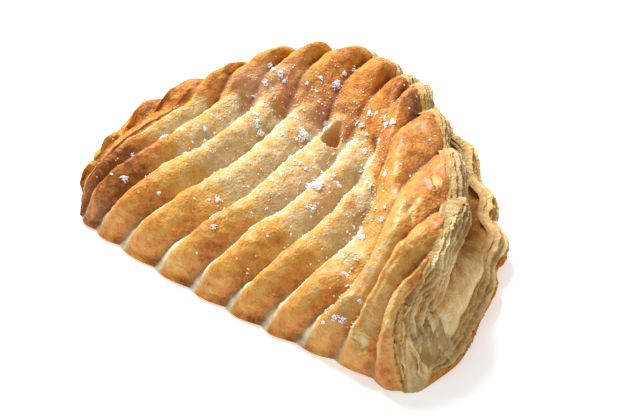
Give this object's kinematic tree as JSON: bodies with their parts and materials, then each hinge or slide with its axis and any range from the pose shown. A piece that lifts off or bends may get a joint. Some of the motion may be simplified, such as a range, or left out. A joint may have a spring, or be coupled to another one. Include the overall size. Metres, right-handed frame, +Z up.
{
  "type": "turnover pastry",
  "caption": "Half-round puff pastry turnover: scored ridges cross the straight fold and fan out over a tall rim whose layers have sprung open at the side.",
  "frame": {"origin": "middle of the box of the whole pastry, on the surface it rests on", "axes": "+X runs along the straight fold towards the sprung-open end, +Y from the fold to the round rim, +Z up"},
  "size_m": [0.1424, 0.1034, 0.0382],
  "materials": {
    "crust": "satin"
  },
  "bodies": {
    "root": {"turnover": "crust"}
  },
  "joints": []
}
